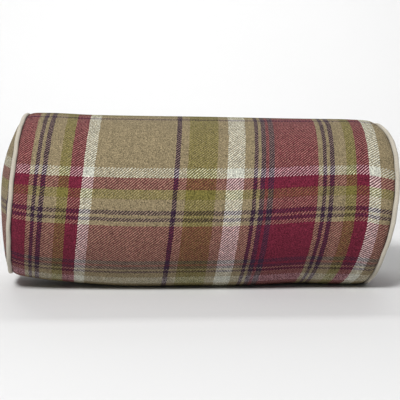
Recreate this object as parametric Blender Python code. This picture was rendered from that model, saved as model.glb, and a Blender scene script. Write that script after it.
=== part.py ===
"""Round bolster cushion with piped ends, lying on a flat surface.

The filled tube lies along X on the plane Z = 0, with its front toward -Y.
Every piece is first turned about the X axis as a true round form of one nominal radius, and is
then settled: its sections take the heights and depths of the lying cushion, its ends lean over,
and its underside is pressed flat.
"""

import math

import bmesh
import bpy
import numpy as np
from mathutils import Matrix, Vector

# Driving dimensions, in metres
SEAM_LENGTH = 0.418
TUBE_RADIUS = 0.100
LEFT_CROWN = 0.0170
RIGHT_CROWN = 0.0170
PIPING_DIAMETER = 0.0053
CLOTH_THICKNESS = 0.0015
GAP = 0.0003

# How the filled tube lies: its sections lean over toward +X at the top, the filling of the ends
# bulges most above their middle, and the base is pressed flat, which lifts what lies above it
# down to a share of the radius
LEAN = 0.112
CROWN_RISE = 0.16
BASE_ROUNDING = 0.0015
LIFTED_RADIUS = 0.5
FLAT_TOLERANCE = 1e-6
CLOSING_SEAM_ANGLE = math.radians(212.0)
CLOSING_SEAM_WIDTH = math.radians(5.0)
CLOSING_SEAM_DEPTH = 0.0014

# Sections of the lying tube, one row each: place along X, height of the top, height of the
# bottom before the floor presses it, half of the depth front to back, bow of the front toward
# +X, and skew of the quarters between front and top toward +X
SECTION_COLUMNS = ("place", "top", "bottom", "half_depth", "bow", "skew")
SECTIONS = (
    (-0.209, 0.2018, 0.0130, 0.1000, 0.0015, -0.0013),
    (-0.180, 0.2021, 0.0072, 0.1012, 0.0010, -0.0008),
    (-0.140, 0.2000, 0.0025, 0.1008, 0.0006, 0.0000),
    (-0.080, 0.1985, -0.0030, 0.1000, 0.0000, 0.0000),
    (0.000, 0.1972, -0.0040, 0.1000, 0.0000, 0.0000),
    (0.080, 0.1953, -0.0035, 0.1005, 0.0006, 0.0000),
    (0.125, 0.1945, -0.0008, 0.1012, 0.0020, 0.0000),
    (0.170, 0.1936, -0.0025, 0.1008, 0.0036, -0.0005),
    (0.190, 0.1923, -0.0028, 0.1000, 0.0046, -0.0010),
    (0.209, 0.1888, -0.0030, 0.0985, 0.0056, -0.0015),
)

# Mesh density
AROUND = 56
TUBE_STEPS = 24
DOME_STEPS = 6
PIPING_SIDES = 8

# Seam groove, measured from the seam's plane and from the nominal radius
PIPING_RADIUS = PIPING_DIAMETER / 2.0
PIPING_CENTRE_RADIUS = TUBE_RADIUS - PIPING_RADIUS
GROOVE_RADIUS = PIPING_RADIUS + GAP + 0.0001
GROOVE_ANGLES = (20.0, 55.0, 90.0)
SHOULDER_LENGTH = 0.0105
SHOULDER_STEPS = 4
RIM_RADIUS = TUBE_RADIUS - PIPING_DIAMETER - GAP
RIM_OFFSET = 0.0011
PANEL_EDGE_RADIUS = RIM_RADIUS + 0.0009
PANEL_CLEARANCE = GAP + 0.0001
DOME_POWER = 2.5
BULGE_SCALE = 2.6

# Colour, roughness
CHECK_CLOTH = ((0.20, 0.12, 0.09), 0.92)
PIPING_CLOTH = ((0.50, 0.46, 0.38), 0.90)


def clear_scene():
    """Remove whatever the scene holds."""
    for leftover in list(bpy.data.objects):
        bpy.data.objects.remove(leftover, do_unlink=True)


def cloth_material(name, colour, roughness):
    """Return a plain cloth material."""
    material = bpy.data.materials.new(name)
    material.use_nodes = True
    shader = material.node_tree.nodes["Principled BSDF"]
    shader.inputs["Base Color"].default_value = (*colour, 1.0)
    shader.inputs["Roughness"].default_value = roughness
    shader.inputs["Metallic"].default_value = 0.0
    material.diffuse_color = (*colour, 1.0)
    return material


def smooth_column(places, values, place):
    """Read a table column at a place, along a smooth curve through its rows."""
    slopes = np.gradient(values, places)
    place = min(max(place, places[0]), places[-1])
    row = min(int(np.searchsorted(places, place, side="right")) - 1, len(places) - 2)
    span = places[row + 1] - places[row]
    t = (place - places[row]) / span
    start = (1.0 + 2.0 * t) * (1.0 - t) ** 2 * values[row]
    start += t * (1.0 - t) ** 2 * span * slopes[row]
    end = t * t * (3.0 - 2.0 * t) * values[row + 1]
    end += t * t * (t - 1.0) * span * slopes[row + 1]
    return start + end


def section_at(place):
    """Return the section's sizes at a place along X, by column name."""
    columns = np.array(SECTIONS).T
    return {
        name: smooth_column(columns[0], column, place)
        for name, column in zip(SECTION_COLUMNS, columns)
    }


def press_on_floor(height):
    """Flatten what would lie below the floor, with a soft turn at the edge of the flat."""
    if height <= -BASE_ROUNDING:
        return 0.0
    if height >= BASE_ROUNDING:
        return height
    return (height + BASE_ROUNDING) ** 2 / (4.0 * BASE_ROUNDING)


def closing_seam(angle, place):
    """Return how far the tube's lengthwise seam draws the cloth in, as a share of the radius."""
    turn = math.remainder(angle - CLOSING_SEAM_ANGLE, 2.0 * math.pi) / CLOSING_SEAM_WIDTH
    fade = max(0.0, 1.0 - (abs(place) / (0.5 * SEAM_LENGTH)) ** 12)
    return CLOSING_SEAM_DEPTH / TUBE_RADIUS * math.exp(-turn * turn) * fade


def bulged(place, radius, angle):
    """Move the filled end's bulge toward the upper half of the disc, leaving the rim in place."""
    beyond_seam = abs(place) - 0.5 * SEAM_LENGTH
    if beyond_seam <= 0.0:
        return place
    rise = 1.0 + CROWN_RISE * BULGE_SCALE * (radius - radius**3) * math.sin(angle)
    return math.copysign(0.5 * SEAM_LENGTH + beyond_seam * rise, place)


def settled(point, is_tube):
    """Move a point of the round form to where it lies on the settled cushion."""
    section = section_at(point.x)
    radius = math.hypot(point.y, point.z) / TUBE_RADIUS
    angle = math.atan2(point.z, -point.y)
    place = bulged(point.x, radius, angle)
    if is_tube:
        radius *= 1.0 - closing_seam(angle, point.x)
    half_height = 0.5 * (section["top"] - section["bottom"])
    centre_height = 0.5 * (section["top"] + section["bottom"])
    lean = LEAN * half_height * radius * math.sin(angle)
    bow = section["bow"] * radius * math.cos(angle)
    skew = section["skew"] * radius * math.sin(2.0 * angle)
    surface_height = centre_height + half_height * math.sin(angle)
    lift = press_on_floor(surface_height) - surface_height
    lift *= min(max((radius - LIFTED_RADIUS) / (0.9 - LIFTED_RADIUS), 0.0), 1.0)
    height = centre_height + half_height * radius * math.sin(angle) + lift
    if height < FLAT_TOLERANCE:
        height = 0.0
    depth = -section["half_depth"] * radius * math.cos(angle)
    return Vector((place + lean + bow + skew, depth, height))


def turned_piece(name, outline, is_closed, material, is_tube=False):
    """Spin an outline of (place, radius) points about X, settle it and make it an object."""
    mesh_data = bmesh.new()
    points = [mesh_data.verts.new((place, 0.0, radius)) for place, radius in outline]
    pairs = list(zip(points, points[1:]))
    if is_closed:
        pairs.append((points[-1], points[0]))
    edges = [mesh_data.edges.new(pair) for pair in pairs]
    half_step = Matrix.Rotation(math.pi / AROUND, 3, "X")
    bmesh.ops.rotate(mesh_data, verts=points, cent=(0.0, 0.0, 0.0), matrix=half_step)
    bmesh.ops.spin(
        mesh_data,
        geom=points + edges,
        cent=(0.0, 0.0, 0.0),
        axis=(1.0, 0.0, 0.0),
        steps=AROUND,
        angle=2.0 * math.pi,
        use_merge=True,
    )
    bmesh.ops.remove_doubles(mesh_data, verts=mesh_data.verts[:], dist=1e-6)
    for vertex in mesh_data.verts:
        vertex.co = settled(vertex.co, is_tube)
    bmesh.ops.recalc_face_normals(mesh_data, faces=mesh_data.faces[:])
    mesh = bpy.data.meshes.new(name)
    mesh_data.to_mesh(mesh)
    mesh_data.free()
    mesh.materials.append(material)
    mesh.shade_smooth()
    piece = bpy.data.objects.new(name, mesh)
    bpy.context.scene.collection.objects.link(piece)
    return piece


def dome_offset(crown, radius):
    """Return how far the filled end stands out of the seam's plane at a radius."""
    return RIM_OFFSET + (crown - RIM_OFFSET) * (1.0 - (radius / RIM_RADIUS) ** DOME_POWER)


def dome_slope(crown, radius):
    """Return the steepness of the filled end at a radius."""
    rise = crown - RIM_OFFSET
    return rise * DOME_POWER / RIM_RADIUS * (radius / RIM_RADIUS) ** (DOME_POWER - 1.0)


def end_outline(crown):
    """Outline of one end of the filling, from the pole out over the dome, groove and shoulder.

    Places are measured outward from the seam's plane.
    """
    outline = []
    for step in range(DOME_STEPS + 1):
        radius = RIM_RADIUS * math.sin(0.5 * math.pi * step / DOME_STEPS)
        outline.append((dome_offset(crown, radius), radius))
    for angle in reversed(GROOVE_ANGLES):
        turn = math.radians(angle)
        outline.append(
            (-GROOVE_RADIUS * math.cos(turn), PIPING_CENTRE_RADIUS - GROOVE_RADIUS * math.sin(turn))
        )
    foot_place, foot_radius = outline[-1]
    for step in range(1, SHOULDER_STEPS + 1):
        turn = 0.5 * math.pi * step / SHOULDER_STEPS
        place = foot_place - SHOULDER_LENGTH * (1.0 - math.cos(turn))
        outline.append((place, foot_radius + (TUBE_RADIUS - foot_radius) * math.sin(turn)))
    return outline


def build_body(material):
    """Filled tube with domed ends and a groove for each ring of piping."""
    seam_place = 0.5 * SEAM_LENGTH
    left = [(-seam_place - place, radius) for place, radius in end_outline(LEFT_CROWN)]
    right = [(seam_place + place, radius) for place, radius in end_outline(RIGHT_CROWN)[::-1]]
    start_place = left[-1][0]
    stop_place = right[0][0]
    step_length = (stop_place - start_place) / TUBE_STEPS
    tube = [(start_place + step * step_length, TUBE_RADIUS) for step in range(1, TUBE_STEPS)]
    turned_piece("bolster_body", left + tube + right, False, material, is_tube=True)


def build_end_panel(name, side, crown, material):
    """Round end panel: a cloth disc domed over the filling."""
    seam_place = 0.5 * SEAM_LENGTH
    inner = []
    outer = []
    for step in range(DOME_STEPS + 1):
        share = math.sin(0.5 * math.pi * step / DOME_STEPS)
        inner_radius = RIM_RADIUS * share
        outer_radius = PANEL_EDGE_RADIUS * share
        inner_lift = PANEL_CLEARANCE * math.hypot(1.0, dome_slope(crown, inner_radius))
        outer_lift = PANEL_CLEARANCE + CLOTH_THICKNESS
        outer_lift *= math.hypot(1.0, dome_slope(crown, outer_radius))
        inner_place = seam_place + dome_offset(crown, inner_radius) + inner_lift
        outer_place = seam_place + dome_offset(crown, outer_radius) + outer_lift
        inner.append((side * inner_place, inner_radius))
        outer.append((side * outer_place, outer_radius))
    turned_piece(name, inner + outer[::-1], False, material)


def build_piping(name, side, material):
    """Cloth-covered piping, sewn round the seam as a ring."""
    outline = []
    for step in range(PIPING_SIDES):
        turn = 2.0 * math.pi * (step + 0.5) / PIPING_SIDES
        place = side * 0.5 * SEAM_LENGTH + PIPING_RADIUS * math.cos(turn)
        outline.append((place, PIPING_CENTRE_RADIUS + PIPING_RADIUS * math.sin(turn)))
    turned_piece(name, outline, True, material)


def centre_over_origin(pieces):
    """Move the pieces along X and Y so that the middle of their box stands over the origin."""
    points = np.array([vertex.co for piece in pieces for vertex in piece.data.vertices])
    middle = 0.5 * (points.min(axis=0) + points.max(axis=0))
    shift = Matrix.Translation((-middle[0], -middle[1], 0.0))
    for piece in pieces:
        piece.data.transform(shift)


def main():
    """Build the cushion's pieces."""
    clear_scene()
    check_colour, check_roughness = CHECK_CLOTH
    piping_colour, piping_roughness = PIPING_CLOTH
    build_body(cloth_material("check_cloth_tube", check_colour, check_roughness))
    for side, side_name, crown in ((-1, "left", LEFT_CROWN), (1, "right", RIGHT_CROWN)):
        panel_cloth = cloth_material(f"check_cloth_{side_name}_end", check_colour, check_roughness)
        build_end_panel(f"end_panel_{side_name}", side, crown, panel_cloth)
        piping_cloth = cloth_material(f"piping_cloth_{side_name}", piping_colour, piping_roughness)
        build_piping(f"piping_{side_name}", side, piping_cloth)
    centre_over_origin(list(bpy.data.objects))


main()
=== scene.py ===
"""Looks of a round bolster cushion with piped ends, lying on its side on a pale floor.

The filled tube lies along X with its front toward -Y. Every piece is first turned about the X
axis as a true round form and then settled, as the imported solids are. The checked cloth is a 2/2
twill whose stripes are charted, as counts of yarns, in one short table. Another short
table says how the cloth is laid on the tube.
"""

import math

import bmesh
import bpy
import numpy as np
from mathutils import Matrix, Vector


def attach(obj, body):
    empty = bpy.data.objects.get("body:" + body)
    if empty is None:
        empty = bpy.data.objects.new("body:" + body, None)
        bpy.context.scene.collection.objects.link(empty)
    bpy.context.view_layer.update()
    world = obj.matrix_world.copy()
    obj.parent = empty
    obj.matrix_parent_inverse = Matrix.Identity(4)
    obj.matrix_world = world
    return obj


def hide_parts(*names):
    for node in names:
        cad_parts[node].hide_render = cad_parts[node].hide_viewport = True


bl_info = {
    "name": "Bolster Cushion",
    "version": (1, 0, 0),
    "blender": (4, 5, 0),
    "location": "View3D > Sidebar > Bolster",
    "description": "Builds a piped, checked bolster cushion over its packed frame",
    "category": "Object",
}

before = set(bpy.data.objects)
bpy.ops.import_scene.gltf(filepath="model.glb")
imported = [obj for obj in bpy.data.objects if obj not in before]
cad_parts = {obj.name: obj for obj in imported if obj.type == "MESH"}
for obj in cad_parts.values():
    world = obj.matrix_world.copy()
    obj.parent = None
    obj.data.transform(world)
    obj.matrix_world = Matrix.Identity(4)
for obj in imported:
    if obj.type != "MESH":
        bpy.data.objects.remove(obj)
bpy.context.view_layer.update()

BODY = "root"

# How the filled tube lies: how far its top leans toward +X, how the upper half of each end
# bulges, how soft the edge of its flat is, between which radii the floor's push grows, and what
# centres the whole on the origin
LEAN = 0.112
CROWN_RISE = 0.16
BULGE_SCALE = 2.6
BASE_ROUNDING = 0.0015
LIFTED_RADIUS = 0.5
FULLY_LIFTED_RADIUS = 0.9
CENTRE_SHIFT = -0.0020868

# Tolerances: for the flat, for vertices that meet, for where a turn is cut open and for moves
FLAT_TOLERANCE = 1e-6
MERGE_DISTANCE = 1e-6
ANGLE_SLACK = 1e-4
LEAST_MOVE = 1e-9

# The seam that closes the tube lengthwise: its place round the tube, half of its width, its
# depth, and the power by which it fades toward the ends
CLOSING_SEAM_ANGLE = math.radians(212.0)
CLOSING_SEAM_WIDTH = math.radians(2.6)
CLOSING_SEAM_DEPTH = 0.0016
CLOSING_SEAM_FADE = 12

# Sections of the lying tube, one row each: place along X, height of the top, height of the
# bottom before the floor presses it, half of the depth front to back, bow of the front toward
# +X, and skew of the quarters between front and top toward +X
SECTION_COLUMNS = ("place", "top", "bottom", "half_depth", "bow", "skew")
SECTIONS = (
    (-0.209, 0.2018, 0.0130, 0.1000, 0.0015, -0.0013),
    (-0.180, 0.2021, 0.0072, 0.1012, 0.0010, -0.0008),
    (-0.140, 0.2000, 0.0025, 0.1008, 0.0006, 0.0000),
    (-0.080, 0.1985, -0.0030, 0.1000, 0.0000, 0.0000),
    (0.000, 0.1972, -0.0040, 0.1000, 0.0000, 0.0000),
    (0.080, 0.1953, -0.0035, 0.1005, 0.0006, 0.0000),
    (0.125, 0.1945, -0.0008, 0.1012, 0.0020, 0.0000),
    (0.170, 0.1936, -0.0025, 0.1008, 0.0036, -0.0005),
    (0.190, 0.1923, -0.0028, 0.1000, 0.0046, -0.0010),
    (0.209, 0.1888, -0.0030, 0.0985, 0.0056, -0.0015),
)

# How far the right seam strays toward +X, one row each: angle up from the front in degrees,
# and stray. It fades out along the tube
SEAM_STRAY = (
    (-180.0, 0.0000),
    (-100.0, -0.0034),
    (-60.0, -0.0036),
    (-33.0, -0.0028),
    (-19.0, -0.0012),
    (5.0, 0.0020),
    (22.0, 0.0034),
    (42.0, 0.0032),
    (56.0, 0.0008),
    (67.0, -0.0014),
    (78.0, -0.0048),
    (100.0, -0.0054),
    (180.0, 0.0000),
)
SEAM_STRAY_REACH = 0.022

# Seam groove, measured from the seam's plane
SEAM_GAP = 0.0002
GROOVE_ANGLES = (14.0, 36.0, 60.0, 90.0)
SHOULDER_LENGTH = 0.0105
SHOULDER_STEPS = 7
RIM_OFFSET = 0.0011
RIM_GAP = 0.0003
EDGE_OVERLAP = 0.0009
DISC_CLEARANCE = 0.0004
DOME_POWER = 2.5

# Small gathers beside the piped seams: how far from the seam they are highest, how far they
# reach, how high they are, waves of (turns, along, phase, share), and the discs' phase
GATHER_PLACE = 0.007
GATHER_REACH = 0.009
GATHER_HEIGHT = 0.00035
GATHER_WAVES = (
    (13, 40, 0.3, 0.5),
    (19, -60, 1.7, 0.6),
    (28, 30, 0.8, 0.5),
    (37, -20, 2.9, 0.4),
)
DISC_GATHER_PHASE = 1.3

# Painted seam shade: how dark the cloth is painted where shade falls in its seams, darkest low on
# the piped ones, and how far that reaches
PIPED_SHADE_REACH = 0.0034
PIPED_SHADE_LEAST = 0.55
PIPED_SHADE_STEEPNESS = 2.2
CLOSING_SEAM_SHADE = 0.5
CLOSING_SHADE_REACH = 0.0016
DISC_RIM_SHADE = 0.6
DISC_RIM_SHADE_REACH = 0.0030

# Piping: where its ends meet, and waves of (turns, along, phase, share) for its uneven
# thickness and for how it strays from the seam, in metres
JOIN_ANGLE = math.radians(246.0)
THICKNESS_WAVES = (
    (7, 0, 0.4, 0.020),
    (13, 0, 1.9, 0.018),
    (29, 0, 0.3, 0.014),
    (47, 0, 2.2, 0.010),
)
STRAY_WAVES = (
    (5, 0, 0.9, 0.00026),
    (11, 0, 2.6, 0.00022),
    (23, 0, 1.1, 0.00014),
)

# How many steps each form has
AROUND = 144
TUBE_STEPS = 84
DOME_STEPS = 10
DISC_STEPS = 26
PIPING_AROUND = 288
PIPING_SIDES = 12

# How the cloth is laid on the tube, one row each: place along X, how far the pattern has
# drifted toward -X of its even spacing, how much further it has drifted at the top and
# underneath, how far it is twisted upward, and how much further underneath, in degrees
LAY_COLUMNS = ("place", "drift", "above", "below", "twist", "twist_below")
LAY = (
    (-0.205, -0.0013, 0.0030, -0.0014, -1.50, -1.0),
    (-0.180, 0.0012, -0.0004, 0.0024, -1.95, -3.0),
    (-0.150, 0.0003, 0.0012, 0.0008, -1.60, -3.4),
    (-0.120, 0.0005, 0.0008, 0.0018, -1.30, -2.6),
    (-0.085, -0.0001, 0.0012, 0.0020, -1.10, -1.4),
    (-0.049, -0.0005, 0.0018, 0.0016, -0.95, 0.0),
    (0.022, -0.0007, 0.0022, -0.0010, -0.80, 1.6),
    (0.058, 0.0001, 0.0022, 0.0016, -0.05, 1.8),
    (0.087, 0.0004, 0.0034, 0.0020, 0.70, 1.4),
    (0.117, 0.0008, 0.0030, 0.0036, 1.50, 0.0),
    (0.147, 0.0029, 0.0018, 0.0068, 1.95, -1.6),
    (0.176, 0.0028, 0.0036, 0.0074, 2.65, -2.4),
    (0.192, 0.0028, 0.0036, 0.0080, 1.30, -1.8),
    (0.209, 0.0020, 0.0030, 0.0066, 0.35, -1.0),
)

# The check, one row for each stripe: yarn colour, and how many yarns. The warp, read toward +X,
# and the weft, read upward on the front, are striped alike
STRIPES = (
    ("tan", 5),
    ("aubergine", 5),
    ("tan", 5),
    ("aubergine", 5),
    ("tan", 16),
    ("olive", 13),
    ("berry", 15),
    ("ivory", 14),
    ("tan", 100),
    ("aubergine", 5),
    ("tan", 10),
    ("olive", 38),
    ("tan", 13),
    ("ivory", 22),
    ("tan", 11),
    ("aubergine", 5),
    ("tan", 5),
    ("slate", 5),
    ("berry", 5),
    ("slate", 6),
    ("berry", 56),
)

# Where the first stripe starts on the flat cloth
WARP_START = -0.1895
WEFT_START = -0.0125

# Names of the UV map and of the painted seam shade attribute that the materials read
CLOTH_LAY = "cloth_lay"
PAINTED_SEAM_SHADE = "painted_seam_shade"

# How much of a crossing the weft covers, and how that grows where the warp is the paler yarn
WEFT_COVER = 0.8
COVER_CHANGE = 0.65
LEAST_COVER = 0.55

# How crossed yarns look together: the weft's share, the eye's gamma, and the lightness below
# which a yarn looks darker beside a pale one
WEFT_SHARE = 0.4
DISPLAY_GAMMA = 2.2
DARK_YARN = 0.07

# How round a yarn's float is, across and along
ROUND_ACROSS = 3.2
ROUND_ALONG = 0.75

# Noise in the twill. Grains are in waves a metre. Steps and offsets set one yarn's noise apart
# from the next one's
STRAY_GRAIN = 70.0
STRAY_LENGTH = 0.0012
STRAY_OFFSETS = (31.0, 17.0)
WARP_LOT_STEP = 1.37
WARP_LOT_OFFSET = 0.21
WARP_FLECK_STEP = 3.7
WEFT_LOT_STEP = 1.71
WEFT_LOT_OFFSET = 0.43
WEFT_FLECK_STEP = 4.3
FLECK_GRAIN = 760.0
FIBRE_GRAIN = 5200.0

# How noise, painted shade in the gaps between yarns and painted seam shade change the twill. A
# pair is the value at 0, and what 1 adds
LOT_SHARE = 0.14
FLECK_SHARE = 2.60
TONE_START = -0.37
LEAST_TONE = 0.3
LEAST_HEIGHT = 0.05
YARN_SHADE_TONES = (0.60, 0.64)
FIBRE_TONES = (0.90, 0.20)
SEAM_SHADE_SHARE = 0.85
TWILL_ROUGHNESS = (0.82, 0.14)
TWILL_FUZZ = 0.35

# The same for the piping's cloth
PIPING_FLECK_GRAIN = 900.0
PIPING_FLECK_STEPS = (2.3, 1.9)
PIPING_PATCH_GRAINS = (120.0, 45.0)
PIPING_YARN_SHADE_TONES = (0.76, 0.30)
PIPING_FLECK_TONES = (0.74, 0.52)
PIPING_PATCH_TONES = (0.86, 0.28)
PIPING_FIBRE_TONES = (0.94, 0.12)
PIPING_SEAM_SHADE_SHARE = 0.45
PIPING_ROUGHNESS = (0.82, 0.12)
PIPING_FUZZ = 0.3

# Relief of each cloth, as strength and distance, and its sheen, as weight and roughness
TWILL_RELIEF = (0.75, 0.00030)
TWILL_SHEEN = (0.03, 0.5)
PIPING_RELIEF = (0.6, 0.00022)
PIPING_SHEEN = (0.10, 0.5)
CLOTH_SPECULAR = 0.10

# Where the middle of each end's disc was cut from the checked cloth, across and up
DISC_CUTS = {
    "left": (-0.122, 0.000),
    "right": (-0.120, 0.045),
}

# Settling of the cover as cloth: length, push from inside, longest move, ease beside the seams,
# shrink of the starting shape, and the cloth's own values
SETTLING_FRAMES = 20
SETTLING_PRESSURE = 4.0
SETTLING_CAP = 0.0035
SETTLING_EASE = 0.020
STARTING_SHRINK = 0.004
SETTLING_QUALITY = 6
CLOTH_MASS = 0.15
STRETCH_STIFFNESS = 30.0
SHEAR_STIFFNESS = 12.0
BENDING_STIFFNESS = 0.6
HOLD_STIFFNESS = 8.0
LEAST_HOLD = 0.08

# Where the cover is held and eased: starts and widths from the seams and above the floor
HELD_AT_SEAM = 0.004
HELD_FADE = 0.020
HELD_AT_FLOOR = 0.001
HELD_FLOOR_FADE = 0.012
EASE_PLACE = 0.012
EASE_REACH = 0.016

# Background paper: half of its width, the front and back of its floor, the radius of its bend
# and its height, and its colour and faint grain
PAPER_HALF_WIDTH = 9.0
PAPER_FRONT = -9.0
PAPER_BACK = 1.6
PAPER_BEND = 1.0
PAPER_BEND_STEPS = 12
PAPER_HEIGHT = 3.0
PAPER_COLOUR = (0.72, 0.72, 0.72)
PAPER_GRAIN = 3.0
PAPER_TONES = (0.98, 0.02)

# Camera, turned a little toward the left end and raised a little
CAMERA_AZIMUTH = math.radians(-2.0)
CAMERA_ELEVATION = math.radians(8.0)
CAMERA_DISTANCE = 1.3
CAMERA_TARGET = (-0.0023, 0.0, 0.097)
CAMERA_LENS = 98.57
CAMERA_SENSOR = 36.0
CAMERA_SHIFT = (0.00875, 0.0025)

# Lights, one row each: name, place, aim, width and height, power
LIGHTS = (
    ("front_softbox", (-0.95, -2.3, 2.25), (0.0, 0.0, 0.10), (1.0, 0.7), 112.0),
    ("backdrop_softbox", (0.0, 1.6, 2.6), (0.0, 2.6, 0.60), (3.0, 0.8), 56.0),
)
SKY_STRENGTH = 0.18


class BolsterSizes(bpy.types.PropertyGroup):
    """Sizes of the cushion."""

    seam_length: bpy.props.FloatProperty(
        name="Seam length",
        description="Length of the tube between its two piped seams",
        default=0.418,
        unit="LENGTH",
    )
    radius: bpy.props.FloatProperty(
        name="Radius",
        description="Radius of the filled tube and of the rings of piping",
        default=0.100,
        unit="LENGTH",
    )
    crown: bpy.props.FloatProperty(
        name="Crown",
        description="How far each filled end stands out beyond its seam",
        default=0.0170,
        unit="LENGTH",
    )
    piping_diameter: bpy.props.FloatProperty(
        name="Piping diameter",
        description="Thickness of the covered piping",
        default=0.0053,
        unit="LENGTH",
    )
    cloth_thickness: bpy.props.FloatProperty(
        name="Cloth thickness",
        description="Thickness of the checked twill",
        default=0.0011,
        unit="LENGTH",
    )
    fill: bpy.props.FloatProperty(
        name="Fill",
        description="How tightly the tube is filled, from 0 to 1",
        default=0.85,
        subtype="FACTOR",
    )
    warp_pitch: bpy.props.FloatProperty(
        name="Warp pitch",
        description="Spacing of the yarns that run round the tube",
        default=0.000883,
        precision=6,
        unit="LENGTH",
    )
    weft_pitch: bpy.props.FloatProperty(
        name="Weft pitch",
        description="Spacing of the yarns that run along the tube",
        default=0.000822,
        precision=6,
        unit="LENGTH",
    )
    piping_pitch: bpy.props.FloatProperty(
        name="Piping yarn pitch",
        description="Spacing of the yarns of the piping's plain cloth",
        default=0.00062,
        precision=6,
        unit="LENGTH",
    )


def yarn_colour(name, colour):
    """Return a colour property for one yarn."""
    return bpy.props.FloatVectorProperty(
        name=name,
        description=f"Colour of the {name.lower()} yarn",
        subtype="COLOR",
        size=3,
        min=0.0,
        max=1.0,
        default=colour,
    )


class BolsterColours(bpy.types.PropertyGroup):
    """Colours of the yarns."""

    tan: yarn_colour("Tan", (0.244, 0.194, 0.113))
    aubergine: yarn_colour("Aubergine", (0.033, 0.016, 0.034))
    olive: yarn_colour("Olive", (0.155, 0.134, 0.036))
    berry: yarn_colour("Berry", (0.138, 0.015, 0.033))
    ivory: yarn_colour("Ivory", (0.532, 0.532, 0.459))
    slate: yarn_colour("Slate", (0.035, 0.017, 0.038))
    piping: yarn_colour("Piping", (0.500, 0.459, 0.382))


def smooth_column(places, values, place):
    """Read a table column at each place, along a smooth curve through its rows."""
    slopes = np.gradient(values, places)
    place = np.clip(place, places[0], places[-1])
    row = np.clip(np.searchsorted(places, place, side="right") - 1, 0, len(places) - 2)
    span = places[row + 1] - places[row]
    t = (place - places[row]) / span
    start = (1.0 + 2.0 * t) * (1.0 - t) ** 2 * values[row]
    start += t * (1.0 - t) ** 2 * span * slopes[row]
    end = t * t * (3.0 - 2.0 * t) * values[row + 1]
    end += t * t * (t - 1.0) * span * slopes[row + 1]
    return start + end


def table_at(names, rows, place):
    """Return a table's columns at each place along X, by column name."""
    columns = np.array(rows).T
    return {
        name: smooth_column(columns[0], column, place) for name, column in zip(names, columns)
    }


def press_on_floor(height):
    """Flatten what would lie below the floor, with a soft turn at the edge of the flat."""
    turn = (height + BASE_ROUNDING) ** 2 / (4.0 * BASE_ROUNDING)
    pressed = np.where(height >= BASE_ROUNDING, height, turn)
    return np.where(height <= -BASE_ROUNDING, 0.0, pressed)


def round_places(piece, sizes):
    """Return the place along X, radius and angle of a turned piece's vertices.

    The radius is a share of the tube's. The angle is 0 at the front and grows toward the top.
    """
    points = vertex_places(piece)
    radius = np.hypot(points[:, 1], points[:, 2]) / sizes.radius
    return points[:, 0], radius, np.arctan2(points[:, 2], -points[:, 1])


def angle_from(angle, start):
    """Return an angle measured from a start, between -pi and pi."""
    return np.remainder(angle - start + math.pi, 2.0 * math.pi) - math.pi


def closing_seam(angle, place, sizes):
    """Return how far the tube's lengthwise seam draws the cloth in, as a share of the radius."""
    turn = angle_from(angle, CLOSING_SEAM_ANGLE) / CLOSING_SEAM_WIDTH
    along = np.abs(place) / (0.5 * sizes.seam_length)
    fade = np.clip(1.0 - along**CLOSING_SEAM_FADE, 0.0, 1.0)
    return CLOSING_SEAM_DEPTH / sizes.radius * np.exp(-turn * turn) * fade


def seam_stray(angle, place, sizes):
    """Return how far the cloth at the right end lies toward +X of an even seam."""
    turns, strays = np.array(SEAM_STRAY).T
    stray = smooth_column(np.radians(turns), strays, angle)
    fade = np.clip(1.0 + (place - 0.5 * sizes.seam_length) / SEAM_STRAY_REACH, 0.0, 1.0)
    return stray * fade * fade * (3.0 - 2.0 * fade)


def settled(place, radius, angle, sizes):
    """Return where points of the round form lie on the settled cushion."""
    section = table_at(SECTION_COLUMNS, SECTIONS, place)
    seam_place = 0.5 * sizes.seam_length
    beyond = np.maximum(np.abs(place) - seam_place, 0.0)
    rise = CROWN_RISE * BULGE_SCALE * (radius - radius**3) * np.sin(angle)
    bulged = place + np.sign(place) * beyond * rise
    half_height = 0.5 * (section["top"] - section["bottom"])
    centre_height = 0.5 * (section["top"] + section["bottom"])
    lean = LEAN * half_height * radius * np.sin(angle)
    bow = section["bow"] * radius * np.cos(angle)
    skew = section["skew"] * radius * np.sin(2.0 * angle)
    stray = seam_stray(angle, place, sizes) * radius**3
    surface_height = centre_height + half_height * np.sin(angle)
    lift = press_on_floor(surface_height) - surface_height
    lifted = (radius - LIFTED_RADIUS) / (FULLY_LIFTED_RADIUS - LIFTED_RADIUS)
    lift *= np.clip(lifted, 0.0, 1.0)
    height = centre_height + half_height * radius * np.sin(angle) + lift
    height = np.where(height < FLAT_TOLERANCE, 0.0, height)
    depth = -section["half_depth"] * radius * np.cos(angle)
    along = bulged + lean + bow + skew + stray + CENTRE_SHIFT
    return np.stack((along, depth, height), axis=1)


def vertex_places(piece):
    """Return a piece's vertex places as rows of an array."""
    places = np.empty(len(piece.data.vertices) * 3)
    piece.data.vertices.foreach_get("co", places)
    return places.reshape(-1, 3)


def place_vertices(piece, places):
    """Move a piece's vertices."""
    piece.data.vertices.foreach_set("co", places.ravel())
    piece.data.update()


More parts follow.
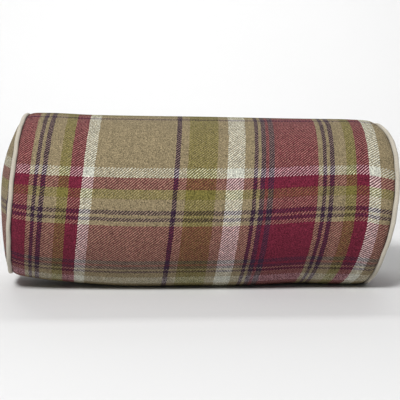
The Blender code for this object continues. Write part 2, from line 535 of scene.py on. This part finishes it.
def turned_piece(name, outline, is_closed, start_angle, steps):
    """Spin an outline of (place, radius) points about X and make the round form an object."""
    form = bmesh.new()
    points = [form.verts.new((place, -radius, 0.0)) for place, radius in outline]
    pairs = list(zip(points, points[1:]))
    if is_closed:
        pairs.append((points[-1], points[0]))
    edges = [form.edges.new(pair) for pair in pairs]
    turn = Matrix.Rotation(-start_angle, 3, "X")
    bmesh.ops.rotate(form, verts=points, cent=(0.0, 0.0, 0.0), matrix=turn)
    bmesh.ops.spin(
        form,
        geom=points + edges,
        cent=(0.0, 0.0, 0.0),
        axis=(1.0, 0.0, 0.0),
        steps=steps,
        angle=2.0 * math.pi,
        use_merge=True,
    )
    bmesh.ops.remove_doubles(form, verts=form.verts[:], dist=MERGE_DISTANCE)
    bmesh.ops.recalc_face_normals(form, faces=form.faces[:])
    mesh = bpy.data.meshes.new(name)
    form.to_mesh(mesh)
    form.free()
    mesh.shade_smooth()
    piece = bpy.data.objects.new(name, mesh)
    bpy.context.scene.collection.objects.link(piece)
    return piece


def corner_vertices(mesh):
    """Return the vertex of each face corner."""
    corners = np.empty(len(mesh.loops), dtype=np.int32)
    mesh.loops.foreach_get("vertex_index", corners)
    return corners


def write_lay(mesh, across, up):
    """Write where each face corner lies on the flat cloth, in metres, as the UV map."""
    layer = mesh.uv_layers.new(name=CLOTH_LAY)
    layer.data.foreach_set("uv", np.stack((across, up), axis=1).ravel())


def write_painted_shade(mesh, painted_shade):
    """Write each vertex's painted seam shade, from 0 to 1: how dark it is painted where shade
    falls.
    """
    layer = mesh.attributes.new(PAINTED_SEAM_SHADE, "FLOAT", "POINT")
    layer.data.foreach_set("value", np.asarray(painted_shade, dtype=np.float32))


def turn_at_corners(mesh, angle, start_angle):
    """Return the angle of each face corner, unbroken but for a cut at the start angle."""
    corners = corner_vertices(mesh)
    turn = np.remainder(angle - start_angle + ANGLE_SLACK, 2.0 * math.pi) - ANGLE_SLACK
    turn = turn[corners]
    starts = np.empty(len(mesh.polygons), dtype=np.int32)
    totals = np.empty(len(mesh.polygons), dtype=np.int32)
    mesh.polygons.foreach_get("loop_start", starts)
    mesh.polygons.foreach_get("loop_total", totals)
    highest = np.repeat(np.maximum.reduceat(turn, starts), totals)
    return np.where(highest - turn > math.pi, turn + 2.0 * math.pi, turn) + start_angle


def uneven(angle, place, waves):
    """Return a smooth, irregular value from a table of waves: round, along, phase, share."""
    total = np.zeros_like(angle)
    for turns, along, phase, share in waves:
        total += share * np.sin(turns * angle + along * place + phase)
    return total


def gathers(angle, from_edge, start):
    """Return how the cloth rises and dips where it is eased into a piped seam, in metres."""
    fade = np.exp(-(((np.maximum(from_edge, 0.0) - GATHER_PLACE) / GATHER_REACH) ** 2))
    return GATHER_HEIGHT * fade * uneven(angle + start, from_edge, GATHER_WAVES)


def rim_radius(sizes):
    """Return the radius at which each filled end meets its piping."""
    return sizes.radius - sizes.piping_diameter - RIM_GAP


def dome_offset(radius, sizes):
    """Return how far the filled end stands out of the seam's plane at a radius."""
    share = 1.0 - (radius / rim_radius(sizes)) ** DOME_POWER
    return RIM_OFFSET + (sizes.crown - RIM_OFFSET) * share


def end_outline(sizes):
    """Outline of one end of the filling, from the pole out over the dome, groove and shoulder."""
    piping_radius = 0.5 * sizes.piping_diameter
    groove_radius = piping_radius + SEAM_GAP
    outline = []
    for step in range(DOME_STEPS + 1):
        radius = rim_radius(sizes) * math.sin(0.5 * math.pi * step / DOME_STEPS)
        outline.append((dome_offset(radius, sizes), radius))
    for angle in reversed(GROOVE_ANGLES):
        turn = math.radians(angle)
        depth = sizes.radius - piping_radius - groove_radius * math.sin(turn)
        outline.append((-groove_radius * math.cos(turn), depth))
    foot_place, foot_radius = outline[-1]
    for step in range(1, SHOULDER_STEPS + 1):
        turn = 0.5 * math.pi * step / SHOULDER_STEPS
        place = foot_place - SHOULDER_LENGTH * (1.0 - math.cos(turn))
        outline.append((place, foot_radius + (sizes.radius - foot_radius) * math.sin(turn)))
    return outline


def tube_outline(sizes):
    """Outline of the whole filled tube, from the left pole to the right one."""
    seam_place = 0.5 * sizes.seam_length
    end = end_outline(sizes)
    left = [(-seam_place - place, radius) for place, radius in end]
    right = [(seam_place + place, radius) for place, radius in end[::-1]]
    places = np.linspace(left[-1][0], right[0][0], TUBE_STEPS + 1)[1:-1]
    return left + [(place, sizes.radius) for place in places] + right


def from_seam(place, sizes):
    """Return how far inside the nearer piped seam each place lies."""
    return 0.5 * sizes.seam_length - np.abs(place)


def settle_as_cloth(piece, hold, ease):
    """Run the cover as cloth over the push of its filling, and return how its points moved."""
    scene = bpy.context.scene
    start = vertex_places(piece)
    for name, weights in (("held", hold), ("eased", ease)):
        group = piece.vertex_groups.new(name=name)
        for index, weight in enumerate(weights):
            group.add([index], float(weight), "REPLACE")
    cloth = piece.modifiers.new("settling", "CLOTH")
    settings = cloth.settings
    settings.quality = SETTLING_QUALITY
    settings.mass = CLOTH_MASS
    settings.tension_stiffness = STRETCH_STIFFNESS
    settings.compression_stiffness = STRETCH_STIFFNESS
    settings.shear_stiffness = SHEAR_STIFFNESS
    settings.bending_stiffness = BENDING_STIFFNESS
    settings.effector_weights.gravity = 0.0
    settings.use_pressure = True
    settings.uniform_pressure_force = SETTLING_PRESSURE
    settings.vertex_group_mass = "held"
    settings.pin_stiffness = HOLD_STIFFNESS
    settings.vertex_group_shrink = "eased"
    settings.shrink_min = 0.0
    settings.shrink_max = -SETTLING_EASE
    cloth.point_cache.frame_start = 1
    cloth.point_cache.frame_end = SETTLING_FRAMES
    for step in range(1, SETTLING_FRAMES + 1):
        scene.frame_set(step)
    graph = bpy.context.evaluated_depsgraph_get()
    moved = piece.evaluated_get(graph)
    places = np.empty(len(moved.data.vertices) * 3)
    moved.data.vertices.foreach_get("co", places)
    piece.modifiers.remove(cloth)
    piece.vertex_groups.clear()
    scene.frame_set(1)
    return places.reshape(-1, 3) - start


def capped(moves, limit):
    """Shorten moves that are longer than a limit."""
    length = np.maximum(np.linalg.norm(moves, axis=1), LEAST_MOVE)
    return moves * (limit * np.tanh(length / limit) / length)[:, None]


def disc_outline(side, edge_radius, sizes):
    """Outline of one end's disc of cloth over the filling, from its middle to its edge."""
    outline = []
    for step in range(DISC_STEPS + 1):
        radius = edge_radius * math.sin(0.5 * math.pi * step / DISC_STEPS)
        offset = dome_offset(radius, sizes) + DISC_CLEARANCE + sizes.cloth_thickness
        outline.append((side * (0.5 * sizes.seam_length + offset), radius))
    return outline


def thicken(mesh, side, thickness):
    """Turn a disc's faces outward and give the cloth its thickness, inward."""
    form = bmesh.new()
    form.from_mesh(mesh)
    bmesh.ops.recalc_face_normals(form, faces=form.faces[:])
    if sum(face.normal.x for face in form.faces) * side < 0.0:
        bmesh.ops.reverse_faces(form, faces=form.faces[:])
    bmesh.ops.solidify(form, geom=form.faces[:], thickness=thickness)
    form.to_mesh(mesh)
    form.free()
    mesh.shade_smooth()


def piping_outline(side, centre_radius, piping_radius, sizes):
    """Round section of one ring of piping."""
    outline = []
    for step in range(PIPING_SIDES):
        turn = 2.0 * math.pi * step / PIPING_SIDES
        place = side * 0.5 * sizes.seam_length + piping_radius * math.cos(turn)
        outline.append((place, centre_radius + piping_radius * math.sin(turn)))
    return outline


def add_subdivision(piece):
    """Round a piece's facets with one live subdivision."""
    finer = piece.modifiers.new("rounding", "SUBSURF")
    finer.levels = 1
    finer.render_levels = 1
    finer.uv_smooth = "NONE"


def lay_on_tube(mesh, place, angle, sizes):
    """Write how the flat cloth is drawn along the tube and twisted round it."""
    lay = table_at(LAY_COLUMNS, LAY, place)
    above = np.maximum(np.sin(angle), 0.0)
    below = np.minimum(np.sin(angle), 0.0) ** 2
    across = place + lay["drift"] + lay["above"] * above + lay["below"] * below
    across += seam_stray(angle, place, sizes)
    twist = np.radians(lay["twist"] + lay["twist_below"] * below)
    corners = corner_vertices(mesh)
    turn = turn_at_corners(mesh, angle, CLOSING_SEAM_ANGLE - 2.0 * math.pi)
    write_lay(mesh, across[corners], sizes.radius * (turn - twist[corners]))


def tube_painted_shade(place, angle, sizes):
    """Return the painted shade of the cloth in its seams, most of all low on the piped ones."""
    inside = np.maximum(from_seam(place, sizes), 0.0)
    low = np.clip(-PIPED_SHADE_STEEPNESS * np.sin(angle), 0.0, 1.0)
    depth = PIPED_SHADE_LEAST + (1.0 - PIPED_SHADE_LEAST) * low
    piped = depth * np.exp(-((inside / PIPED_SHADE_REACH) ** 2))
    beside = angle_from(angle, CLOSING_SEAM_ANGLE) * sizes.radius
    closing = CLOSING_SEAM_SHADE * np.exp(-((beside / CLOSING_SHADE_REACH) ** 2))
    return np.maximum(piped, closing)


def settle_tube(cover, place, radius, angle, sizes):
    """Lay the cover on the floor, a little slack, and let its filling push it out."""
    target = settled(place, radius, angle, sizes)
    inside = from_seam(place, sizes)
    free = np.clip((inside - HELD_AT_SEAM) / HELD_FADE, 0.0, 1.0)
    free *= np.clip((target[:, 2] - HELD_AT_FLOOR) / HELD_FLOOR_FADE, 0.0, 1.0)
    slack = settled(place, radius * (1.0 - STARTING_SHRINK * free), angle, sizes)
    place_vertices(cover, slack)
    ease = np.exp(-(((inside - EASE_PLACE) / EASE_REACH) ** 2))
    moves = settle_as_cloth(cover, 1.0 - (1.0 - LEAST_HOLD) * free, ease)
    target = slack + capped(moves, SETTLING_CAP)
    target[:, 2] = np.maximum(target[:, 2], 0.0)
    place_vertices(cover, target)


class Reading:
    """A number that varies over a surface. Arithmetic on it adds Math nodes."""

    def __init__(self, finish, socket):
        self.finish = finish
        self.socket = socket

    def __add__(self, other):
        return self.finish.maths("ADD", self, other)

    def __radd__(self, other):
        return self.finish.maths("ADD", other, self)

    def __sub__(self, other):
        return self.finish.maths("SUBTRACT", self, other)

    def __rsub__(self, other):
        return self.finish.maths("SUBTRACT", other, self)

    def __mul__(self, other):
        return self.finish.maths("MULTIPLY", self, other)

    def __rmul__(self, other):
        return self.finish.maths("MULTIPLY", other, self)

    def __truediv__(self, other):
        return self.finish.maths("DIVIDE", self, other)

    def __mod__(self, other):
        return self.finish.maths("FLOORED_MODULO", self, other)

    def floor(self):
        return self.finish.maths("FLOOR", self)

    def size(self):
        return self.finish.maths("ABSOLUTE", self)

    def at_least(self, other):
        return self.finish.maths("MAXIMUM", self, other)

    def at_most(self, other):
        return self.finish.maths("MINIMUM", self, other)

    def above(self, other):
        return self.finish.maths("GREATER_THAN", self, other)

    def between(self, start, span):
        """Turn a reading from 0 to 1 into one from start to start plus span."""
        return start + self * span


class Finish:
    """A material under construction, with one method that adds any node."""

    def __init__(self, name, roughness):
        self.material = bpy.data.materials.new(name)
        self.material.use_nodes = True
        self.tree = self.material.node_tree
        self.shader = self.tree.nodes["Principled BSDF"]
        self.shader.inputs["Roughness"].default_value = roughness
        self.shader.inputs["Metallic"].default_value = 0.0

    def feed(self, socket, value):
        """Link a socket to a reading or another socket, or set its value."""
        if isinstance(value, Reading):
            value = value.socket
        if isinstance(value, bpy.types.NodeSocket):
            self.tree.links.new(value, socket)
        else:
            socket.default_value = value

    def node(self, kind, settings=None, inputs=None):
        """Add a node, set its settings, then feed its sockets."""
        node = self.tree.nodes.new(kind)
        for name, value in (settings or {}).items():
            if name == "stops":
                self.set_stops(node.color_ramp, value)
            else:
                setattr(node, name, value)
        for name, value in (inputs or {}).items():
            self.feed(node.inputs[name], value)
        return node

    @staticmethod
    def set_stops(ramp, stops):
        """Give a colour ramp hard steps at its stops of (position, colour)."""
        ramp.interpolation = "CONSTANT"
        ramp.elements.remove(ramp.elements[1])
        for index, (position, colour) in enumerate(stops):
            stop = ramp.elements[0] if index == 0 else ramp.elements.new(position)
            stop.position = position
            stop.color = (*colour, 1.0)

    def maths(self, operation, *values):
        """Work out a number."""
        inputs = dict(enumerate(values))
        node = self.node("ShaderNodeMath", {"operation": operation}, inputs)
        return Reading(self, node.outputs[0])

    def pair(self, across, up):
        """Join two numbers as a vector."""
        return self.node("ShaderNodeCombineXYZ", inputs={"X": across, "Y": up}).outputs[0]

    def cloud(self, across, up, detail=1.0):
        """Return smooth noise, about 0 to 1, whose grain is one unit of its two coordinates."""
        node = self.node(
            "ShaderNodeTexNoise",
            {"noise_dimensions": "2D"},
            {"Vector": self.pair(across, up), "Scale": 1.0, "Detail": detail},
        )
        return Reading(self, node.outputs[0])

    def lot(self, number):
        """Return a random value from 0 to 1 for each whole number."""
        node = self.node("ShaderNodeTexWhiteNoise", {"noise_dimensions": "1D"}, {"W": number})
        return Reading(self, node.outputs["Value"])

    def blend(self, share, first, second):
        """Mix two colours."""
        node = self.node("ShaderNodeMix", {"data_type": "RGBA"}, {0: share, 6: first, 7: second})
        return node.outputs[2]

    def seen_together(self, warp_colour, weft_colour):
        """Return how warp and weft look from afar, where the darker yarn tells more."""
        parts = [self.powered(part, 1.0 / DISPLAY_GAMMA) for part in (warp_colour, weft_colour)]
        return self.powered(self.blend(WEFT_SHARE, *parts), DISPLAY_GAMMA)

    def lightness(self, colour):
        """Return how light a colour is."""
        return Reading(self, self.node("ShaderNodeRGBToBW", inputs={"Color": colour}).outputs[0])

    def powered(self, colour, power):
        """Raise a colour to a power."""
        return self.node("ShaderNodeGamma", inputs={"Color": colour, "Gamma": power}).outputs[0]

    def vector(self, operation, first, second):
        """Work out a colour or vector from two others."""
        inputs = {0: first, 1: second}
        return self.node("ShaderNodeVectorMath", {"operation": operation}, inputs).outputs[0]

    def shaded(self, colour, strength):
        """Make a colour lighter or darker."""
        inputs = {0: colour, "Scale": strength}
        return self.node("ShaderNodeVectorMath", {"operation": "SCALE"}, inputs).outputs[0]

    def lay(self):
        """Return the two coordinates of the cloth's UV map, in metres."""
        chart = self.node("ShaderNodeUVMap", {"uv_map": CLOTH_LAY})
        parts = self.node("ShaderNodeSeparateXYZ", inputs={"Vector": chart.outputs[0]})
        return Reading(self, parts.outputs["X"]), Reading(self, parts.outputs["Y"])

    def painted_shade(self):
        """Return the painted seam shade of the surface."""
        node = self.node("ShaderNodeAttribute", {"attribute_name": PAINTED_SEAM_SHADE})
        return Reading(self, node.outputs["Fac"])

    def raise_yarns(self, height, strength, distance):
        """Let a height shape the surface's normal."""
        inputs = {"Strength": strength, "Distance": distance, "Height": height}
        bump = self.node("ShaderNodeBump", inputs=inputs)
        self.feed(self.shader.inputs["Normal"], bump.outputs[0])

    def sheen(self, weight, roughness):
        """Give the cloth its soft fibre sheen."""
        self.shader.inputs["Sheen Weight"].default_value = weight
        self.shader.inputs["Sheen Roughness"].default_value = roughness
        self.shader.inputs["Specular IOR Level"].default_value = CLOTH_SPECULAR


def stripe_colour(finish, yarn, colours):
    """Return the colour of each yarn, counted through the table of stripes."""
    total = sum(count for name, count in STRIPES)
    stops = []
    passed = 0
    for name, count in STRIPES:
        stops.append((passed / total, getattr(colours, name)))
        passed += count
    place = ((yarn + 0.5) % total) / total
    return finish.node("ShaderNodeValToRGB", {"stops": stops}, {0: place}).outputs[0]


def yarn_body(across, along):
    """Return the height of a yarn's float from its cross and lengthwise coordinates."""
    return (1.0 - across * across * ROUND_ACROSS) * (1.0 - along * along * ROUND_ALONG)


def checked_twill(sizes, colours):
    """Yarn-dyed 2/2 twill woven to the chart of stripes."""
    finish = Finish("checked_twill", roughness=0.9)
    across, up = finish.lay()
    stray_across, stray_up = across * STRAY_GRAIN, up * STRAY_GRAIN
    wander = (finish.cloud(stray_across, stray_up) - 0.5) * STRAY_LENGTH
    shifted_across, shifted_up = stray_across + STRAY_OFFSETS[0], stray_up + STRAY_OFFSETS[1]
    drift = (finish.cloud(shifted_across, shifted_up) - 0.5) * STRAY_LENGTH
    warp_place = (across - WARP_START + wander) / sizes.warp_pitch
    weft_place = (up - WEFT_START + drift) / sizes.weft_pitch
    warp = warp_place.floor()
    weft = weft_place.floor()
    warp_side = warp_place - warp - 0.5
    weft_side = weft_place - weft - 0.5
    phase = (warp - weft) % 4.0
    warp_float = weft_side + 0.5 - phase
    weft_float = warp_side + phase - 2.5
    warp_colour = stripe_colour(finish, warp, colours)
    weft_colour = stripe_colour(finish, weft, colours)
    warp_light = finish.lightness(warp_colour)
    weft_light = finish.lightness(weft_colour)
    paler = warp_light - weft_light
    cover = (WEFT_COVER + paler * COVER_CHANGE).at_least(LEAST_COVER).at_most(1.0)
    weft_up = phase.above(1.5) * (1.0 - weft_float.size().above(cover))
    warp_height = yarn_body(warp_side, warp_float)
    weft_height = yarn_body(weft_side, weft_float)
    height = (warp_height + weft_up * (weft_height - warp_height)).at_least(LEAST_HEIGHT)
    warp_lot = finish.lot(warp * WARP_LOT_STEP + WARP_LOT_OFFSET)
    weft_lot = finish.lot(weft * WEFT_LOT_STEP + WEFT_LOT_OFFSET)
    warp_fleck = finish.cloud(warp * WARP_FLECK_STEP, up * FLECK_GRAIN)
    weft_fleck = finish.cloud(across * FLECK_GRAIN, weft * WEFT_FLECK_STEP)
    warp_tone = warp_lot * LOT_SHARE + warp_fleck * FLECK_SHARE + TONE_START
    weft_tone = weft_lot * LOT_SHARE + weft_fleck * FLECK_SHARE + TONE_START
    tone = (warp_tone + weft_up * (weft_tone - warp_tone)).at_least(LEAST_TONE)
    fibres = finish.cloud(across * FIBRE_GRAIN, up * FIBRE_GRAIN, 2.0)
    # Painted shade in the gaps between yarns, lighter on their crowns, and random fibre tone
    tone = tone * height.between(*YARN_SHADE_TONES) * fibres.between(*FIBRE_TONES)
    # Painted shade in the seams
    tone = tone * (1.0 - finish.painted_shade() * SEAM_SHADE_SHARE)
    warp_weight = finish.shaded(warp_colour, warp_light / (warp_light + DARK_YARN))
    weft_weight = finish.shaded(weft_colour, weft_light / (weft_light + DARK_YARN))
    top_colour = finish.blend(weft_up, warp_weight, weft_weight)
    even_colour = finish.blend(cover * 0.5, warp_weight, weft_weight)
    seen_colour = finish.seen_together(warp_colour, weft_colour)
    colour = finish.vector("MULTIPLY", seen_colour, top_colour)
    colour = finish.shaded(finish.vector("DIVIDE", colour, even_colour), tone)
    finish.feed(finish.shader.inputs["Base Color"], colour)
    finish.feed(finish.shader.inputs["Roughness"], fibres.between(*TWILL_ROUGHNESS))
    finish.raise_yarns(height + fibres * TWILL_FUZZ, *TWILL_RELIEF)
    finish.sheen(*TWILL_SHEEN)
    return finish.material


def piping_cloth(sizes, colours):
    """Plain-woven stone cloth, cut on the bias."""
    finish = Finish("piping_cloth", roughness=0.88)
    across, up = finish.lay()
    first_place = (across + up) / (sizes.piping_pitch * math.sqrt(2.0))
    second_place = (up - across) / (sizes.piping_pitch * math.sqrt(2.0))
    first = first_place.floor()
    second = second_place.floor()
    first_side = first_place - first - 0.5
    second_side = second_place - second - 0.5
    first_up = ((first + second) % 2.0).above(0.5)
    first_height = yarn_body(first_side, second_side)
    second_height = yarn_body(second_side, first_side)
    height = second_height + first_up * (first_height - second_height)
    first_step, second_step = PIPING_FLECK_STEPS
    fleck_place = first * first_step + across * PIPING_FLECK_GRAIN
    fleck = finish.cloud(fleck_place, second * second_step)
    fibres = finish.cloud(across * FIBRE_GRAIN, up * FIBRE_GRAIN, 2.0)
    across_grain, up_grain = PIPING_PATCH_GRAINS
    patch = finish.cloud(across * across_grain, up * up_grain)
    # Painted shade in the gaps between yarns, lighter on their crowns, and random flecks
    tone = height.between(*PIPING_YARN_SHADE_TONES) * fleck.between(*PIPING_FLECK_TONES)
    tone = tone * patch.between(*PIPING_PATCH_TONES) * fibres.between(*PIPING_FIBRE_TONES)
    # Painted shade in the seam's groove
    tone = tone * (1.0 - finish.painted_shade() * PIPING_SEAM_SHADE_SHARE)
    base = finish.node("ShaderNodeRGB")
    base.outputs[0].default_value = (*colours.piping, 1.0)
    finish.feed(finish.shader.inputs["Base Color"], finish.shaded(base.outputs[0], tone))
    finish.feed(finish.shader.inputs["Roughness"], fibres.between(*PIPING_ROUGHNESS))
    finish.raise_yarns(height + fibres * PIPING_FUZZ, *PIPING_RELIEF)
    finish.sheen(*PIPING_SHEEN)
    return finish.material


def studio_paper():
    """Plain pale background paper."""
    finish = Finish("studio_paper", roughness=0.95)
    places = finish.node("ShaderNodeTexCoord").outputs["Object"]
    grain = finish.node("ShaderNodeTexNoise", inputs={"Vector": places, "Scale": PAPER_GRAIN})
    tone = Reading(finish, grain.outputs[0]).between(*PAPER_TONES)
    base = finish.node("ShaderNodeRGB")
    base.outputs[0].default_value = (*PAPER_COLOUR, 1.0)
    finish.feed(finish.shader.inputs["Base Color"], finish.shaded(base.outputs[0], tone))
    return finish.material


class BuilderBase:
    """What every operator of this file shares."""

    bl_options = {"REGISTER", "UNDO"}

    def execute(self, context):
        scene = context.scene
        self.build(scene.bolster_sizes, scene.bolster_colours)
        return {"FINISHED"}


class BOLSTER_OT_tube_cover(BuilderBase, bpy.types.Operator):
    """Build the filled tube's checked cover"""

    bl_idname = "bolster.tube_cover"
    bl_label = "Tube Cover"

    def build(self, sizes, colours):
        cover = turned_piece("tube_cover", tube_outline(sizes), False, CLOSING_SEAM_ANGLE, AROUND)
        place, radius, angle = round_places(cover, sizes)
        lay_on_tube(cover.data, place, angle, sizes)
        # Painted seam shade, darkest low beside the piped seams
        write_painted_shade(cover.data, tube_painted_shade(place, angle, sizes))
        inside = from_seam(place, sizes)
        gathered = gathers(angle, inside, place) / sizes.radius
        radius = radius * (1.0 - closing_seam(angle, place, sizes))
        radius += np.where(inside < 0.0, 0.0, gathered)
        settle_tube(cover, place, radius, angle, sizes)
        cover.data.materials.append(checked_twill(sizes, colours))
        add_subdivision(cover)
        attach(cover, BODY)
        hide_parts("bolster_body")


class BOLSTER_OT_end_discs(BuilderBase, bpy.types.Operator):
    """Build the round disc of checked cloth at each end"""

    bl_idname = "bolster.end_discs"
    bl_label = "End Discs"

    def build(self, sizes, colours):
        twill = bpy.data.materials.get("checked_twill") or checked_twill(sizes, colours)
        edge_radius = rim_radius(sizes) + EDGE_OVERLAP
        for side, side_name in ((-1, "left"), (1, "right")):
            outline = disc_outline(side, edge_radius, sizes)
            disc = turned_piece(f"end_disc_{side_name}", outline, False, 0.0, AROUND)
            place, radius, angle = round_places(disc, sizes)
            self.lay_cloth(disc, side, *DISC_CUTS[side_name])
            rim = (edge_radius / sizes.radius - radius) * sizes.radius
            # Painted shade round the disc's rim, in the groove by the piping
            write_painted_shade(disc.data, DISC_RIM_SHADE * np.exp(-((rim / DISC_RIM_SHADE_REACH) ** 2)))
            place += side * gathers(angle, rim, DISC_GATHER_PHASE * side)
            place_vertices(disc, settled(place, radius, angle, sizes))
            disc.data.materials.append(twill)
            thicken(disc.data, side, sizes.cloth_thickness)
            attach(disc, BODY)
            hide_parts(f"end_panel_{side_name}")

    def lay_cloth(self, disc, side, across, up):
        """Write the disc's cut, whose middle lies at a place on the flat cloth."""
        points = vertex_places(disc)[corner_vertices(disc.data)]
        write_lay(disc.data, across + side * points[:, 1], up + points[:, 2])


class BOLSTER_OT_piping(BuilderBase, bpy.types.Operator):
    """Build the ring of covered piping round each end seam"""

    bl_idname = "bolster.piping"
    bl_label = "Piping"

    def build(self, sizes, colours):
        cloth = piping_cloth(sizes, colours)
        piping_radius = 0.5 * sizes.piping_diameter
        centre_radius = sizes.radius - piping_radius
        for side, side_name in ((-1, "left"), (1, "right")):
            outline = piping_outline(side, centre_radius, piping_radius, sizes)
            name = f"piping_cover_{side_name}"
            ring = turned_piece(name, outline, True, JOIN_ANGLE, PIPING_AROUND)
            mesh = ring.data
            place, radius, angle = round_places(ring, sizes)
            beside = place - side * 0.5 * sizes.seam_length
            above = radius * sizes.radius - centre_radius
            section_angle = np.arctan2(above, beside)
            ring_turn = turn_at_corners(mesh, angle, JOIN_ANGLE - 2.0 * math.pi)
            section_turn = turn_at_corners(mesh, section_angle, -0.5 * math.pi)
            write_lay(mesh, section_turn * piping_radius, ring_turn * centre_radius)
            # Painted shade on the piping's inner half, in the seam's groove
            write_painted_shade(mesh, np.clip(-above / piping_radius, 0.0, 1.0))
            swell = 1.0 + uneven(angle + side, place, THICKNESS_WAVES)
            stray = uneven(angle - side, place, STRAY_WAVES)
            place = side * 0.5 * sizes.seam_length + beside * swell + stray
            radius = (centre_radius + above * swell) / sizes.radius
            place_vertices(ring, settled(place, radius, angle, sizes))
            mesh.materials.append(cloth)
            add_subdivision(ring)
            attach(ring, BODY)
            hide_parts(f"piping_{side_name}")


class BOLSTER_OT_studio(BuilderBase, bpy.types.Operator):
    """Build the pale floor, the soft lights and the camera"""

    bl_idname = "bolster.studio"
    bl_label = "Studio"

    def build(self, sizes, colours):
        self.build_paper()
        self.build_lights()
        self.build_camera()
        # Colours are shown as they are, and the denoiser keeps the weave
        scene = bpy.context.scene
        scene.view_settings.view_transform = "Standard"
        scene.cycles.denoising_prefilter = "NONE"

    def build_paper(self):
        """Floor that sweeps up into a backdrop."""
        outline = [(PAPER_FRONT, 0.0), (PAPER_BACK, 0.0)]
        for step in range(1, PAPER_BEND_STEPS + 1):
            turn = 0.5 * math.pi * step / PAPER_BEND_STEPS
            depth = PAPER_BACK + PAPER_BEND * math.sin(turn)
            outline.append((depth, PAPER_BEND * (1.0 - math.cos(turn))))
        outline.append((PAPER_BACK + PAPER_BEND, PAPER_HEIGHT))
        form = bmesh.new()
        points = [form.verts.new((-PAPER_HALF_WIDTH, y, z)) for y, z in outline]
        edges = [form.edges.new(pair) for pair in zip(points, points[1:])]
        extruded = bmesh.ops.extrude_edge_only(form, edges=edges)
        moved = [item for item in extruded["geom"] if isinstance(item, bmesh.types.BMVert)]
        bmesh.ops.translate(form, verts=moved, vec=(2.0 * PAPER_HALF_WIDTH, 0.0, 0.0))
        bmesh.ops.recalc_face_normals(form, faces=form.faces[:])
        if form.faces[:][0].normal.z < 0.0:
            bmesh.ops.reverse_faces(form, faces=form.faces[:])
        mesh = bpy.data.meshes.new("studio_paper")
        form.to_mesh(mesh)
        form.free()
        mesh.shade_smooth()
        mesh.materials.append(studio_paper())
        paper = bpy.data.objects.new("studio_paper", mesh)
        bpy.context.scene.collection.objects.link(paper)

    def build_lights(self):
        """Large soft boxes and an even sky."""
        for name, place, aim, size, power in LIGHTS:
            lamp = bpy.data.lights.new(name, "AREA")
            lamp.shape = "RECTANGLE"
            lamp.size, lamp.size_y = size
            lamp.energy = power
            light = bpy.data.objects.new(name, lamp)
            light.location = place
            aim_direction = Vector(aim) - Vector(place)
            light.rotation_euler = aim_direction.to_track_quat("-Z", "Y").to_euler()
            bpy.context.scene.collection.objects.link(light)
        world = bpy.data.worlds.new("studio_sky")
        world.use_nodes = True
        sky = world.node_tree.nodes["Background"]
        sky.inputs["Color"].default_value = (1.0, 1.0, 1.0, 1.0)
        sky.inputs["Strength"].default_value = SKY_STRENGTH
        bpy.context.scene.world = world

    def build_camera(self):
        """Camera at the height and turn from which the cushion was seen."""
        back = Vector(
            (
                math.sin(CAMERA_AZIMUTH) * math.cos(CAMERA_ELEVATION),
                -math.cos(CAMERA_AZIMUTH) * math.cos(CAMERA_ELEVATION),
                math.sin(CAMERA_ELEVATION),
            )
        )
        lens = bpy.data.cameras.new("studio_camera")
        lens.lens = CAMERA_LENS
        lens.sensor_width = CAMERA_SENSOR
        lens.shift_x, lens.shift_y = CAMERA_SHIFT
        camera = bpy.data.objects.new("studio_camera", lens)
        camera.location = Vector(CAMERA_TARGET) + CAMERA_DISTANCE * back
        camera.rotation_euler = (-back).to_track_quat("-Z", "Y").to_euler()
        bpy.context.scene.collection.objects.link(camera)
        bpy.context.scene.camera = camera


class BOLSTER_PT_builder(bpy.types.Panel):
    """Sizes, colours and builders of the cushion."""

    bl_idname = "BOLSTER_PT_builder"
    bl_label = "Bolster Cushion"
    bl_space_type = "VIEW_3D"
    bl_region_type = "UI"
    bl_category = "Bolster"

    def draw(self, context):
        scene = context.scene
        for group in (scene.bolster_sizes, scene.bolster_colours):
            box = self.layout.box()
            for name in group.__annotations__:
                box.prop(group, name)
        for builder in BUILDERS:
            self.layout.operator(builder.bl_idname)


BUILDERS = (
    BOLSTER_OT_tube_cover,
    BOLSTER_OT_end_discs,
    BOLSTER_OT_piping,
    BOLSTER_OT_studio,
)
CLASSES = (BolsterSizes, BolsterColours, *BUILDERS, BOLSTER_PT_builder)


def register():
    """Register the classes and the scene's settings."""
    for item in CLASSES:
        bpy.utils.register_class(item)
    bpy.types.Scene.bolster_sizes = bpy.props.PointerProperty(type=BolsterSizes)
    bpy.types.Scene.bolster_colours = bpy.props.PointerProperty(type=BolsterColours)


def unregister():
    """Take the classes and the scene's settings away again."""
    del bpy.types.Scene.bolster_colours
    del bpy.types.Scene.bolster_sizes
    for item in reversed(CLASSES):
        bpy.utils.unregister_class(item)


def main():
    """Build the cushion and its studio."""
    register()
    bpy.ops.bolster.tube_cover()
    bpy.ops.bolster.end_discs()
    bpy.ops.bolster.piping()
    bpy.ops.bolster.studio()


if __name__ == "__main__":
    main()
